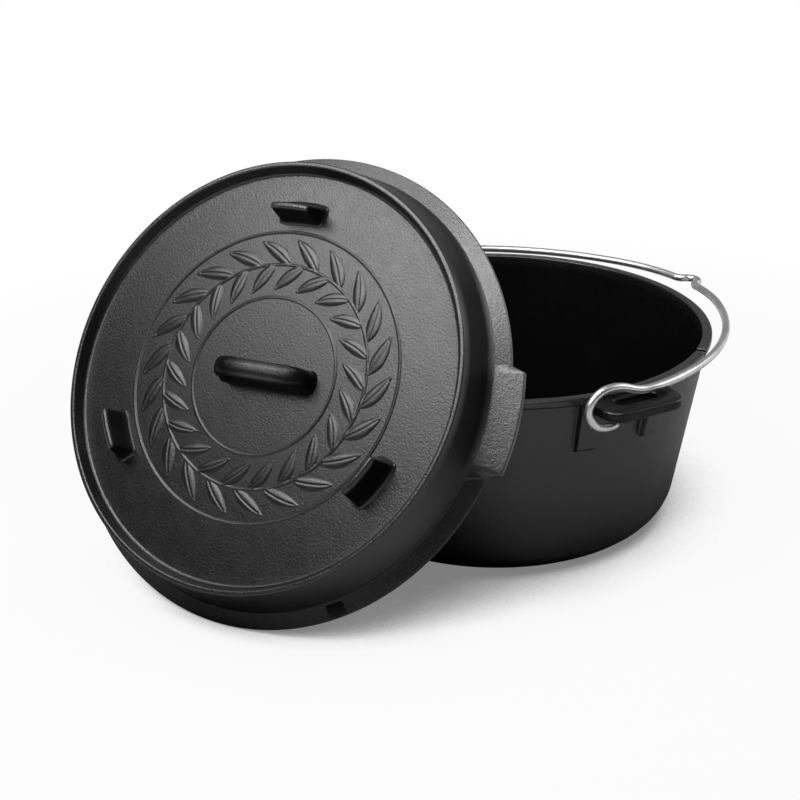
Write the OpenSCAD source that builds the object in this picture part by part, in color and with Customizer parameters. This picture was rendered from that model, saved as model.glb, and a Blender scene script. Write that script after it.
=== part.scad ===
// Camp dutch oven: a cast pot, a cast lid that leans on its rim, and a wire bail.
// Millimetres. The origin is the centre of the pot's flat base and Z points up.
// The two ears lie on the X axis and the bail lies folded toward +Y.

/* [Pot] */
// Outer radius of the rim bead
rim_r = 155; // [150:1:162]
// Height from the base to the top of the rim
pot_h = 141.6; // [136:0.2:150]
// How far the rim bead stands proud of the wall
bead_out = 1.9; // [1:0.1:3]
// Height of the rim bead
bead_h = 4.4; // [3:0.2:7]
// Thickness of wall and bottom
wall_t = 5; // [4.5:0.5:8]
// How much the wall draws in from rim to floor
wall_draw = 22.6; // [16:0.2:30]
// Radius of the rounding between wall and bottom
base_round = 32; // [20:1:40]
// Width of the thermometer notch in the rim
notch_w = 7; // [5:0.5:10]
// Depth of the thermometer notch
notch_d = 3; // [2:0.5:3.5]
// Angle of the notch from the ear
notch_turn = 35; // [30:1:50]

/* [Ears] */
// Drop of the ear's top below the rim
ear_drop = 2; // [1.5:0.5:6]
// Thickness of the ear
ear_t = 7; // [6:0.5:10]
// Half the length of the ear along the wall
ear_half = 30.5; // [28:0.5:34]
// Reach of the ear beyond the rim
ear_reach = 26.5; // [24:0.5:30]
// Radius of the ear's corners
ear_corner = 12; // [8:1:16]
// Distance from the rim to the slot
slot_off = 4.5; // [4:0.5:6]
// Width of the slot
slot_w = 9.5; // [8.5:0.5:11]
// Half the length of the slot
slot_half = 16; // [14:0.5:18]
// Width of the ribs below the ear
rib_w = 13.5; // [10:0.5:15]
// Angle of each rib from the middle of the ear
rib_turn = 10; // [8.5:0.5:11]
// How far a rib stands out under the ear
rib_out = 6; // [4:0.5:7]
// How far a rib stands out at its foot
rib_foot = 5; // [3:0.5:6]
// Length of a rib down the wall
rib_drop = 31; // [20:1:40]

/* [Bail] */
// Diameter of the wire
wire_d = 5.5; // [4.5:0.5:6]
// Distance of the hinge line from the end of the slot
hinge_in = 5; // [4:0.5:6]
// Distance of the hinge line below the top of the ear
hinge_drop = 2.4; // [2:0.2:3]
// Clearance of the hook around the ear
hook_clear = 1.2; // [0.5:0.1:2]
// Angle at which the hook's wire ends
hook_tip = 295; // [280:1:300]
// Length of the bend that brings the wire down onto the ear
bend_run = 26; // [22:1:32]
// Gap between the folded wire and the ear
rest_gap = 0.4; // [0.3:0.1:1]
// Radius of the bend beside the ear
elbow_r = 60; // [50:1:70]
// Angle of the bend beside the ear
elbow_turn = 8; // [7:0.5:10]
// Radius of the crown of the bail
crown_r = 125; // [115:1:130]
// Reach of the bail from the hinge line to the crown
bail_reach = 195.5; // [192:0.5:202]
// Height of the hanging kink in the crown
kink_out = 9.5; // [8:0.5:12]
// Radius of the kink
kink_r = 7; // [5:0.5:8]
// Angle of the kink from the middle of the crown
kink_lean = 2.3; // [0:0.1:4]

/* [Lid] */
// How far the flange stands out beyond the rim
lid_over = 4.4; // [3:0.2:8]
// Height of the flange's outer edge
edge_h = 2; // [1:0.5:3]
// Width of the flange's sloping band
band_w = 10.3; // [8:0.1:13]
// Height of the band's top
band_h = 6.7; // [5:0.1:9]
// How much the coal rim draws in from the band to its lip
lip_in = 6.4; // [5:0.1:8]
// Height of the lip
lid_h = 40.2; // [36:0.2:46]
// Thickness of the lip
lip_t = 3; // [2.4:0.2:4]
// How much wider the lip is at the plate
lip_slope = 2.5; // [1.5:0.5:4]
// Height of the plate's top face
plate_h = 31.5; // [28:0.5:34]
// Thickness of the plate
plate_t = 5.5; // [5:0.5:8]
// Depth of the locating ring below the flange
ring_d = 3; // [2:0.5:4]
// Thickness of the locating ring
ring_t = 4.5; // [3.5:0.5:6]
// Play of the locating ring in the pot's mouth
lid_play = 1.3; // [0.8:0.1:2.5]
// How far the two lugs stand out beyond the flange
lug_out = 9; // [6:0.5:11]
// Half the width of a lug at its tip
lug_half = 33.4; // [28:0.2:38]
// How much wider a lug is at its root, on each side
lug_flare = 8; // [4:1:12]
// Chamfer of a lug's corners
lug_cut = 5; // [3:0.5:8]
// Height of a lug's tip
lug_tip = 2.5; // [2:0.5:4]
// Width of the thermometer pocket in the flange
slit_w = 11; // [8:0.5:13]
// Height of the pocket's floor above the seat
slit_low = 2.2; // [1.5:0.1:3]
// Height of the pocket
slit_h = 3.5; // [2.5:0.1:3.8]
// Depth of the pocket behind the band
slit_in = 2.5; // [1:0.5:3]
// Angle of the pocket from the lug
slit_turn = -60; // [-70:0.5:-50]

/* [Lid feet and handle] */
// Distance of the feet's inner edge from the edge of the plate
foot_off = 34.2; // [30:0.2:38]
// Radial width of a foot at its base
foot_w = 13.4; // [11:0.2:16]
// Radial width of a foot at its top
foot_top = 4; // [3:0.5:6]
// Height of the feet above the plate
foot_h = 20; // [18:0.5:24]
// Angle a foot takes up
foot_arc = 17; // [14:0.5:20]
// Overall length of the handle
handle_len = 70; // [60:1:80]
// How far the handle sits off the middle along its length
handle_off = 3.5; // [0:0.5:5]
// Width of the handle
handle_w = 13; // [11:0.5:15]
// Thickness of the handle's bar
handle_t = 9.5; // [8:0.5:11]
// Height of the handle's top below the tops of the feet
handle_drop = 1; // [0.5:0.5:2]
// Radius of the handle's outer corners
handle_round = 13; // [8:0.5:14]
// Radius of the corners of the finger gap
grip_round = 4; // [3:0.5:5]

/* [Lid place] */
// Lean of the lid from the floor
lid_tilt = 55.9; // [54:0.1:58]
// Direction of the lean about the pot
lid_yaw = 29.7; // [26:0.1:33]
// Turn of the lid in its own plane
lid_roll = 3; // [0:0.5:6]
// Sideways shift of the lid from the point where it leans
lid_shift = -71; // [-76:1:-66]
// Gap between the lid's seat plane and the rim
lean_gap = 0.5; // [0.3:0.1:1.5]

/* [Hidden] */
$fn = 96;
// Pot
wall_r = rim_r - bead_out;
draft = atan(wall_draw / pot_h);
round_x = wall_r - wall_draw + base_round * tan(draft) - base_round / cos(draft);
mouth_r = wall_r - wall_t / cos(draft);
inner_round = base_round - wall_t;
// Ears
ear_top = pot_h - ear_drop;
ear_low = ear_top - ear_t;
ear_x = rim_r + ear_reach;
ear_root = mouth_r - 12;
slot_x = rim_r + slot_off + slot_w / 2;
rib_r = wall_r - wall_draw * (pot_h - ear_low) / pot_h;
rib_low = rib_r - wall_draw * rib_drop / pot_h;
// Bail
wire_r = wire_d / 2;
link_run = 0.3;
link_thin = 0.05;
hinge_y = -(slot_half + hinge_in);
hinge_z = ear_top - hinge_drop;
hook_in = norm([ear_half - slot_half - hinge_in, ear_t - hinge_drop]) + hook_clear;
hook_r = hook_in + wire_r;
lift = hinge_drop + rest_gap + wire_r;
bail_z = hinge_z + lift;
bend_drop = hook_r - lift;
bend_turn = 2 * atan(bend_drop / bend_run);
bend_r = bend_run / (2 * sin(bend_turn));
elbow_c = [slot_x - elbow_r, hinge_y + bend_run];
elbow_dir = [cos(elbow_turn), sin(elbow_turn)];
elbow_p = elbow_c + elbow_r * elbow_dir;
crown_c = [0, hinge_y + bail_reach - crown_r];
span = elbow_p - crown_c;
should_r = (span * span - crown_r * crown_r) / (2 * (span * elbow_dir - crown_r));
should_c = elbow_p - should_r * elbow_dir;
should_end = atan2(crown_c[1] - should_c[1], crown_c[0] - should_c[0]);
kink_y = crown_r + kink_out - kink_r;
kink_sum = crown_r + kink_r;
kink_cos = (kink_sum * kink_sum + kink_y * kink_y - 4 * kink_r * kink_r) / (2 * kink_sum * kink_y);
kink_turn = acos(kink_cos);
kink_c = crown_c + [0, kink_y];
fillet_c = crown_c + kink_sum * [sin(kink_turn), cos(kink_turn)];
fillet_dir = (atan2(kink_c[1] - fillet_c[1], kink_c[0] - fillet_c[0]) + 360) % 360;
// Lid
lid_r = rim_r + lid_over;
band_r = lid_r - band_w;
lip_r = band_r - lip_in;
ring_r = mouth_r - lid_play;
dish_r = ring_r - ring_t;
dish_top = plate_h - plate_t;
plate_r = lip_r - lip_t - lip_slope;
lug_r = lid_r + lug_out;
handle_h = foot_h - handle_drop;
handle_half = handle_len / 2;
grip_h = handle_h - handle_t;
grip_half = handle_half - handle_t;
bow_d = handle_h + handle_w;
foot_in = plate_r - foot_off;
foot_out = foot_in + foot_w;
foot_mid = foot_in + 0.42 * foot_w;
lid_z = lid_r * sin(lid_tilt);
lid_d = rim_r + (pot_h - lid_z) / tan(lid_tilt) + lean_gap / sin(lid_tilt);
lid_c = [
    lid_d * sin(lid_yaw) + lid_shift * cos(lid_yaw),
    lid_shift * sin(lid_yaw) - lid_d * cos(lid_yaw),
    lid_z
];

// Outer half section of the pot
module pot_outer() {
    polygon([
        [0, 0],
        [round_x, 0],
        [round_x + base_round * cos(draft), base_round * (1 - sin(draft))],
        [wall_r - (bead_h + bead_out) * tan(draft), pot_h - bead_h - bead_out],
        [rim_r, pot_h - bead_h + 0.4],
        [rim_r, pot_h - 1],
        [rim_r - 1, pot_h],
        [0, pot_h]
    ]);
    translate([round_x, base_round])
        circle(r = base_round);
}

// Hollow half section of the pot
module pot_inner() {
    polygon([
        [0, wall_t],
        [round_x, wall_t],
        [round_x + inner_round * cos(draft), base_round - inner_round * sin(draft)],
        [mouth_r - tan(draft), pot_h - 1],
        [mouth_r + 1, pot_h],
        [mouth_r + 1, pot_h + 2],
        [0, pot_h + 2]
    ]);
    translate([round_x, base_round])
        circle(r = inner_round);
}

// Plan of one ear with its slot
module ear_plan() {
    difference() {
        union() {
            translate([ear_root, -ear_half])
                square([ear_x - ear_corner - ear_root, 2 * ear_half]);
            translate([ear_root, ear_corner - ear_half])
                square([ear_x - ear_root, 2 * (ear_half - ear_corner)]);
            for (s = [-1, 1])
                translate([ear_x - ear_corner, s * (ear_half - ear_corner)])
                    circle(r = ear_corner);
        }
        translate([slot_x - slot_w / 2, slot_w / 2 - slot_half])
            square([slot_w, 2 * slot_half - slot_w]);
        for (s = [-1, 1])
            translate([slot_x, s * (slot_half - slot_w / 2)])
                circle(d = slot_w);
    }
}

// One tapering rib under an ear
module rib() {
    rotate([90, 0, 0])
        translate([0, 0, -rib_w / 2])
            linear_extrude(rib_w)
                polygon([
                    [rib_low - 3, ear_top - 1],
                    [rim_r - 0.6, ear_top - 1],
                    [rib_r + rib_out, ear_low],
                    [rib_low + rib_foot, ear_low - rib_drop + 2],
                    [rib_low + rib_foot - 2, ear_low - rib_drop],
                    [rib_low - 3, ear_low - rib_drop]
                ]);
}

// One ear with its ribs
module ear() {
    translate([0, 0, ear_low])
        linear_extrude(ear_t)
            ear_plan();
    for (s = [-1, 1])
        rotate([0, 0, s * rib_turn])
            rib();
}

module pot() {
    color([0.05, 0.05, 0.05])
        difference() {
            union() {
                rotate_extrude()
                    pot_outer();
                ear();
                mirror([1, 0, 0])
                    ear();
            }
            rotate_extrude()
                pot_inner();
            rotate([0, 0, notch_turn])
                translate([mouth_r - 6, -notch_w / 2, pot_h - notch_d])
                    cube([rim_r - mouth_r + 12, notch_w, notch_d + 4]);
        }
}

// A bent length of wire about the local Z axis, from angle a to angle b
module wire_arc(c, r, a, b) {
    translate([c[0], c[1], 0])
        rotate([0, 0, a])
            rotate_extrude(angle = b - a)
                translate([r, 0])
                    circle(d = wire_d, $fn = 32);
}

// The same a hair thinner, run on at both ends into the lengths beside it
module wire_link(c, r, a, b) {
    run = link_run / r * 180 / PI;
    translate([c[0], c[1], 0])
        rotate([0, 0, a - run])
            rotate_extrude(angle = b - a + 2 * run)
                translate([r, 0])
                    circle(d = wire_d - 2 * link_thin, $fn = 32);
}

// Turns what follows about the middle of the crown's circle
module about_crown(turn) {
    translate([crown_c[0], crown_c[1], 0])
        rotate([0, 0, turn])
            translate([-crown_c[0], -crown_c[1], 0])
                children();
}

// The bail's half on the +X side, without the kink, which leans toward it by an angle
module bail_half(lean) {
    translate([slot_x, hinge_y, hinge_z])
        rotate([90, 0, 90]) {
            wire_arc([0, 0], hook_r, 90, hook_tip);
            wire_link([0, hook_r - bend_r], bend_r, 90 - bend_turn, 90);
            wire_arc([bend_run, lift + bend_r], bend_r, 270 - bend_turn, 270);
        }
    translate([0, 0, bail_z]) {
        wire_link(elbow_c, elbow_r, 0, elbow_turn);
        wire_arc(should_c, should_r, elbow_turn, should_end);
        wire_link(crown_c, crown_r, should_end, 90 - kink_turn - lean);
        about_crown(-lean)
            wire_arc(fillet_c, kink_r, fillet_dir, 270 - kink_turn);
    }
}

module bail() {
    color([0.75, 0.75, 0.76]) {
        bail_half(kink_lean);
        mirror([1, 0, 0])
            bail_half(-kink_lean);
        translate([0, 0, bail_z])
            about_crown(-kink_lean)
                wire_link(kink_c, kink_r, fillet_dir - 180, 360 - fillet_dir);
    }
}

// Outer half section of the lid, from its seat plane up
module lid_outer() {
    polygon([
        [0, -ring_d],
        [ring_r, -ring_d],
        [ring_r, 0],
        [lid_r, 0],
        [lid_r - 0.3, edge_h],
        [band_r, band_h],
        [lip_r + 0.2, lid_h - 1.2],
        [lip_r - 0.8, lid_h],
        [lip_r - lip_t + 0.8, lid_h],
        [lip_r - lip_t, lid_h - 1],
        [plate_r + 0.9, plate_h + 2],
        [plate_r - 1.2, plate_h],
        [0, plate_h]
    ]);
}

// Hollow half section under the lid
module lid_inner() {
    polygon([
        [0, -ring_d - 2],
        [dish_r, -ring_d - 2],
        [dish_r, -ring_d],
        [dish_r - 3, dish_top - 8],
        [dish_r - 5.2, dish_top - 2.6],
        [dish_r - 10, dish_top],
        [0, dish_top]
    ]);
}

// One lifting lug on the +X side
module lug() {
    intersection() {
        linear_extrude(band_h + 2)
            polygon([
                [band_r - 12, -lug_half - lug_flare],
                [lug_r - lug_cut, -lug_half],
                [lug_r + lug_cut, -lug_half + lug_cut],
                [lug_r + lug_cut, lug_half - lug_cut],
                [lug_r - lug_cut, lug_half],
                [band_r - 12, lug_half + lug_flare]
            ]);
        rotate_extrude()
            polygon([
                [band_r - 6, 0],
                [lug_r, 0],
                [lug_r, lug_tip],
                [band_r, band_h + 0.8],
                [band_r - 6, band_h + 0.8]
            ]);
    }
}

// One foot on the +X side
module foot() {
    rotate([0, 0, -foot_arc / 2])
        rotate_extrude(angle = foot_arc)
            polygon([
                [foot_in, plate_h - 2],
                [foot_out, plate_h - 2],
                [foot_out, plate_h],
                [foot_mid + foot_top / 2, plate_h + foot_h],
                [foot_mid - foot_top / 2, plate_h + foot_h],
                [foot_in, plate_h]
            ]);
}

// Side view of an arch with rounded upper corners, standing 2 below its base line
module arch(half, top, r) {
    translate([-half, -2])
        square([2 * half, top - r + 2]);
    translate([r - half, -2])
        square([2 * (half - r), top + 2]);
    for (s = [-1, 1])
        translate([s * (half - r), top - r])
            circle(r = r);
}

// The arched handle over the middle of the plate
module handle() {
    intersection() {
        translate([handle_off, handle_w / 2, plate_h])
            rotate([90, 0, 0])
                linear_extrude(handle_w)
                    difference() {
                        arch(handle_half, handle_h, handle_round);
                        arch(grip_half, grip_h, grip_round);
                    }
        translate([0, 0, plate_h + handle_h - bow_d / 2])
            rotate([0, 90, 0])
                cylinder(d = bow_d, h = handle_len + 2 * handle_off + 20, center = true);
    }
}

// The whole lid in its own frame, seat plane at zero
module lid_flat() {
    difference() {
        union() {
            rotate_extrude()
                lid_outer();
            lug();
            rotate([0, 0, 180])
                lug();
            for (a = [90, 210, 330])
                rotate([0, 0, a])
                    foot();
            handle();
        }
        rotate_extrude()
            lid_inner();
        rotate([0, 0, slit_turn])
            translate([band_r - slit_in, -slit_w / 2, slit_low])
                cube([band_w + slit_in + 2, slit_w, slit_h]);
    }
}

module lid() {
    color([0.07, 0.07, 0.07])
        translate(lid_c)
            rotate([0, 0, lid_yaw])
                rotate([lid_tilt, 0, 0])
                    rotate([0, 0, lid_roll])
                        lid_flat();
}

pot();
bail();
lid();
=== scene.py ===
"""Looks of a camp dutch oven: cast pot, cast lid leaning toward it, and a folded wire bail.

Lengths in the classes are millimetres in the row frame (origin at the centre of the pot's
base, Z up, ears on X, bail folded toward +Y) and angles are degrees, unless a line says
otherwise; meshes are written in metres.
"""

import logging
import math
from dataclasses import dataclass, field
from enum import Enum

import bpy
import numpy as np
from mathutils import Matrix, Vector


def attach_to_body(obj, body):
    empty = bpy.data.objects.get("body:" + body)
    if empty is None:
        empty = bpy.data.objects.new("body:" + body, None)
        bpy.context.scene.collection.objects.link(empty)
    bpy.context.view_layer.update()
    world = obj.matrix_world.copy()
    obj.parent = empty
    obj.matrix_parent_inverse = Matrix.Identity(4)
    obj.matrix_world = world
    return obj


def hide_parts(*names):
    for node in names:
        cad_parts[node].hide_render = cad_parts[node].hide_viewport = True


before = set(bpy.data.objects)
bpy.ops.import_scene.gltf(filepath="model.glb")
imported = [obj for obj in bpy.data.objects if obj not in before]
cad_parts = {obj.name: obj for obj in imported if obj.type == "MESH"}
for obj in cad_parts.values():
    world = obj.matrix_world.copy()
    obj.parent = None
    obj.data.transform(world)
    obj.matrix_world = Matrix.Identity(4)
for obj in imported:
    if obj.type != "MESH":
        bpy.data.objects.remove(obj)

LOG = logging.getLogger("camp_oven")
Array = np.ndarray
Socket = bpy.types.NodeSocket
Owner = bpy.types.Material | bpy.types.World
Pair = tuple[float, float]
Triple = tuple[float, float, float]

MM = 0.001
WHITE = (1.0, 1.0, 1.0, 1.0)
MARKS = ("wear", "coarse", "dull")
POLE_R = 2.0
ROW_STEP = 7.0
ANGLE_STEP = 1.0
ANGLE_EASE = 1.6
FINE_ANGLE = 0.01


class Slot(Enum):
    """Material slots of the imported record."""

    POT = "pot_iron"
    LID = "lid_iron"
    BAIL = "bail_wire"


class Body(Enum):
    """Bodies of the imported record."""

    POT = "pot"
    LID = "lid"
    BAIL = "bail"


# Surfaces


@dataclass
class Surface:
    """A closed skin: points in millimetres, four- and three-sided faces, and finish marks."""

    points: Array
    quads: Array
    tris: Array
    marks: Array

    def placed(self, turn: Array, shift: Array) -> "Surface":
        """The same skin turned by a 3 by 3 matrix and then shifted."""
        return Surface(self.points @ turn.T + shift, self.quads, self.tris, self.marks)

    def outward(self) -> "Surface":
        """The same skin with its faces pointing out, judged by its signed volume.

        Returns:
            The skin, with every face reversed if the volume came out negative.
        """
        fans = [self.quads[:, [0, 1, 2]], self.quads[:, [0, 2, 3]], self.tris]
        a, b, c = (self.points[np.concatenate(fans)[:, k]] for k in range(3))
        if np.einsum("ij,ij->i", a, np.cross(b, c)).sum() < 0:
            return Surface(self.points, self.quads[:, ::-1], self.tris[:, ::-1], self.marks)
        return self

    def joined(self, other: "Surface") -> "Surface":
        """Both skins as one.

        Args:
            other: The skin to add.

        Returns:
            The joined skin.
        """
        n = len(self.points)
        pairs = ((self.points, other.points), (self.quads, other.quads + n),
                 (self.tris, other.tris + n), (self.marks, other.marks))
        return Surface(*(np.concatenate(pair) for pair in pairs))

    def to_object(self, name: str) -> bpy.types.Object:
        """Writes the skin into a new smooth-shaded object at the origin.

        Args:
            name: The piece's name.

        Returns:
            The object, with a point attribute from 0 to 1 for each finish mark.
        """
        mesh = bpy.data.meshes.new(name)
        loops = np.concatenate([self.quads.ravel(), self.tris.ravel()])
        sizes = np.repeat([4, 3], [len(self.quads), len(self.tris)])
        starts = np.cumsum(sizes) - sizes
        mesh.vertices.add(len(self.points))
        mesh.vertices.foreach_set("co", (self.points * MM).astype(np.float32).ravel())
        mesh.loops.add(len(loops))
        mesh.loops.foreach_set("vertex_index", loops.astype(np.int32))
        mesh.polygons.add(len(sizes))
        mesh.polygons.foreach_set("loop_start", starts.astype(np.int32))
        mesh.polygons.foreach_set("use_smooth", np.ones(len(sizes), bool))
        mesh.update(calc_edges=True)
        for k, mark in enumerate(MARKS):
            layer = mesh.attributes.new(mark, "FLOAT", "POINT")
            values = np.clip(self.marks[:, k], 0, 1).astype(np.float32)
            layer.data.foreach_set("value", values)
        obj = bpy.data.objects.new(name, mesh)
        bpy.context.scene.collection.objects.link(obj)
        return obj


def skin(points: Array, wrap_rows: bool, start: Array | None = None,
         end: Array | None = None, wear: Array | float = 0.0, coarse: Array | float = 0.0,
         dull: Array | float = 0.0) -> Surface:
    """A grid of points as a skin: rows run along a path, columns close round it.

    Args:
        points: Grid of shape (rows, columns, 3).
        wrap_rows: Whether the last row meets the first.
        start: A point that closes the first row, if any.
        end: A point that closes the last row, if any.
        wear: Wear values, spread over the grid.
        coarse: Grain values, spread over the grid.
        dull: Values that take the shine away, spread over the grid.

    Returns:
        The skin, facing out.
    """
    rows, cols = points.shape[:2]
    index = np.arange(rows * cols).reshape(rows, cols)
    ring = np.concatenate([index, index[:, :1]], 1)
    if wrap_rows:
        ring = np.concatenate([ring, ring[:1]], 0)
    quads = np.stack([ring[:-1, :-1], ring[1:, :-1], ring[1:, 1:], ring[:-1, 1:]], -1)
    flat = points.reshape(-1, 3)
    grids = [np.broadcast_to(mark, (rows, cols)) for mark in (wear, coarse, dull)]
    marks = np.stack(grids, -1).reshape(-1, len(MARKS))
    fans = [np.zeros((0, 3), int)]
    for pole, row, flip in ((start, ring[0], False), (end, ring[rows - 1], True)):
        if pole is None:
            continue
        tip = np.full(cols, len(flat))
        pair = (row[1:], row[:-1]) if flip else (row[:-1], row[1:])
        fans.append(np.stack([tip, *pair], 1))
        flat = np.concatenate([flat, pole[None]])
        marks = np.concatenate([marks, marks[row[:-1]].mean(0)[None]])
    return Surface(flat, quads.reshape(-1, 4), np.concatenate(fans), marks).outward()


def smooth(x: Array, low: float, high: float) -> Array:
    """0 before low, 1 past high and a cubic ease between; it falls if high is below low."""
    t = np.clip((x - low) / (high - low), 0.0, 1.0)
    return t * t * (3.0 - 2.0 * t)


def uneven_angles(windows: list[Triple]) -> Array:
    """Angles round a full turn, closer together inside windows.

    The local step is the least of the general step and those of the windows an angle is
    in; angles are read where the running count of steps passes whole numbers.

    Args:
        windows: Centre, half width and step of each window.

    Returns:
        Angles in radians, shape (1, n).
    """
    fine = np.linspace(0.0, 360.0, round(360.0 / FINE_ANGLE) + 1)
    local = np.full_like(fine, ANGLE_STEP)
    for centre, half, inner in windows:
        away = np.abs((fine - centre + 180.0) % 360.0 - 180.0)
        eased = inner + (ANGLE_STEP - inner) * smooth(away, half, half + ANGLE_EASE)
        local = np.minimum(local, eased)
    count = np.concatenate([[0.0], np.cumsum(FINE_ANGLE / local[:-1])])
    total = int(round(count[-1]))
    return np.radians(np.interp(np.arange(total) * count[-1] / total, count, fine))[None]


def rounded_line(corners: list[Triple], turn: float = 9.0) -> Array:
    """A line through corners, each replaced by a tangent arc of its own radius.

    At a corner with half angle a between its two legs, an arc of radius r starts r/tan(a)
    before it and ends as far behind it, about a centre r/sin(a) along the bisector.

    Args:
        corners: X, Y and radius of each corner; the first and last stay as they are.
        turn: Largest turn of an arc's step.

    Returns:
        Points of the line, shape (n, 2).
    """
    p = np.array([c[:2] for c in corners], float)
    out = [p[:1]]
    for k in range(1, len(p) - 1):
        back, on = p[k - 1] - p[k], p[k + 1] - p[k]
        back, on = back / np.linalg.norm(back), on / np.linalg.norm(on)
        half = math.acos(float(np.clip(back @ on, -1, 1))) / 2
        r = corners[k][2]
        middle = (back + on) / np.linalg.norm(back + on)
        centre = p[k] + middle * r / math.sin(half)
        first, last = p[k] + back * r / math.tan(half), p[k] + on * r / math.tan(half)
        a0 = math.atan2(*(first - centre)[::-1])
        sweep = (math.atan2(*(last - centre)[::-1]) - a0 + math.pi) % (2 * math.pi) - math.pi
        steps = max(3, int(math.ceil(abs(math.degrees(sweep)) / turn)))
        a = a0 + sweep * np.linspace(0, 1, steps + 1)
        out.append(centre + r * np.stack([np.cos(a), np.sin(a)], 1))
    out.append(p[-1:])
    return np.concatenate(out)


def filled(line: Array, longest: float) -> Array:
    """The same line with long stretches cut into equal steps.

    Args:
        line: Points of the line.
        longest: Largest length of a step.

    Returns:
        Its points with those between them.
    """
    gaps = np.linalg.norm(np.diff(line, axis=0), axis=1)
    steps = np.maximum(1, np.ceil(gaps / longest)).astype(int)
    which = np.repeat(np.arange(len(gaps)), steps)
    before = np.repeat(np.cumsum(steps) - steps, steps)
    share = (np.arange(steps.sum()) - before) / steps[which]
    body = line[which] + (line[which + 1] - line[which]) * share[:, None]
    return np.concatenate([body, line[-1:]])


def even_loop(line: Array, count: int) -> Array:
    """A closed line read at equal distances along it.

    Args:
        line: Points of the line, shape (n, 2).
        count: How many points to read.

    Returns:
        The points, shape (count, 2).
    """
    closed = np.concatenate([line, line[:1]])
    steps = np.linalg.norm(np.diff(closed, axis=0), axis=1)
    run = np.concatenate([[0.0], np.cumsum(steps)])
    at = np.arange(count) * run[-1] / count
    return np.stack([np.interp(at, run, closed[:, k]) for k in (0, 1)], 1)


def tangents(line: Array) -> Array:
    """Unit directions along a line."""
    along = np.gradient(line, axis=0)
    return along / np.linalg.norm(along, axis=1)[:, None]


def full_turn(count: int) -> Array:
    """Evenly spread angles round a full turn, in radians."""
    return np.linspace(0.0, 2 * np.pi, count, endpoint=False)


def squared_circle(t: Array, power: float) -> Array:
    """Both coordinates of a circle swollen toward a square, where |x|^p + |y|^p is 1."""
    ring = np.stack([np.cos(t), np.sin(t)])
    return ring / (np.abs(ring) ** power).sum(0) ** (1.0 / power)


def polar(r: Array, a: Array, z: Array) -> Array:
    """Radius, angle and height grids as points, each spread to the shape of all."""
    return np.stack(np.broadcast_arrays(r * np.cos(a), r * np.sin(a), z), -1)


def off(a: Array, centre: float) -> Array:
    """How far angles lie from a centre, in radians, the short way round."""
    return (a - centre + math.pi) % (2 * math.pi) - math.pi


def turn_z(degrees: float) -> Array:
    """A turn about Z as a 3 by 3 matrix."""
    c, s = math.cos(math.radians(degrees)), math.sin(math.radians(degrees))
    return np.array([[c, -s, 0.0], [s, c, 0.0], [0.0, 0.0, 1.0]])


# Finishes


@dataclass(frozen=True)
class Nodes:
    """The node tree of a material or a world, with short ways to add nodes."""

    owner: Owner

    @staticmethod
    def of(owner: Owner) -> "Nodes":
        """The emptied node tree of a new material or world.

        Args:
            owner: The material or world.

        Returns:
            Its tree, ready for nodes.
        """
        owner.use_nodes = True
        owner.node_tree.nodes.clear()
        return Nodes(owner)

    def add(self, kind: str, *inputs: object, **values: object) -> bpy.types.Node:
        """Adds a node; a socket among the values is linked, a constant is set.

        Args:
            kind: Node type without its ShaderNode prefix.
            inputs: Values of its first inputs in order.
            values: Values by input name with _ for spaces, or node properties.

        Returns:
            The node.
        """
        tree = self.owner.node_tree
        node = tree.nodes.new("ShaderNode" + kind)
        targets = list(zip(node.inputs, inputs))
        for key, value in values.items():
            name = key.replace("_", " ")
            if name in node.inputs:
                targets.append((node.inputs[name], value))
            else:
                setattr(node, key, value)
        for target, value in targets:
            if isinstance(value, Socket):
                tree.links.new(value, target)
            else:
                target.default_value = value
        return node

    def noise(self, place: Socket, scale: float, detail: float = 3.0,
              rough: float = 0.55) -> Socket:
        """A noise value at a scale per metre, read at a place."""
        values = {"Vector": place, "Scale": scale, "Detail": detail, "Roughness": rough}
        return self.add("TexNoise", **values).outputs["Fac"]

    def ranged(self, value: Socket, low: float, high: float, to_low: float = 0.0,
               to_high: float = 1.0) -> Socket:
        """A value mapped from one range to another and held inside it."""
        return self.add("MapRange", value, low, high, to_low, to_high).outputs["Result"]

    def maths(self, how: str, a: Socket, b: Socket | float) -> Socket:
        """Two values joined by a named operation."""
        return self.add("Math", a, b, operation=how).outputs[0]

    def weighed(self, *parts: tuple[Socket, float]) -> Socket:
        """The sum of values, each times its weight.

        Args:
            parts: Values and their weights.

        Returns:
            The sum.
        """
        total, *others = (self.maths("MULTIPLY", *part) for part in parts)
        for other in others:
            total = self.maths("ADD", total, other)
        return total

    def blended(self, share: Socket, dark: Triple, light: Triple) -> Socket:
        """A colour between two fixed ones, by a share.

        Args:
            share: From 0 for the dark colour to 1 for the light one.
            dark: The dark colour.
            light: The light colour.

        Returns:
            The colour.
        """
        node = self.add("ValToRGB", share)
        for stop, colour in zip(node.color_ramp.elements, (dark, light)):
            stop.color = (*colour, 1.0)
        return node.outputs["Color"]

    def coated(self, share: Socket, below: Socket, above: Triple) -> Socket:
        """A colour over which a fixed one lies, by a share."""
        values = {"Factor": share, "A": below, "B": (*above, 1.0)}
        return self.add("Mix", data_type="RGBA", **values).outputs["Result"]

    def close(self, shader: bpy.types.Node) -> Owner:
        """Joins a shader to the output.

        Args:
            shader: The last shader node.

        Returns:
            The material or world.
        """
        is_world = isinstance(self.owner, bpy.types.World)
        self.add("OutputWorld" if is_world else "OutputMaterial", Surface=shader.outputs[0])
        return self.owner


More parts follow.
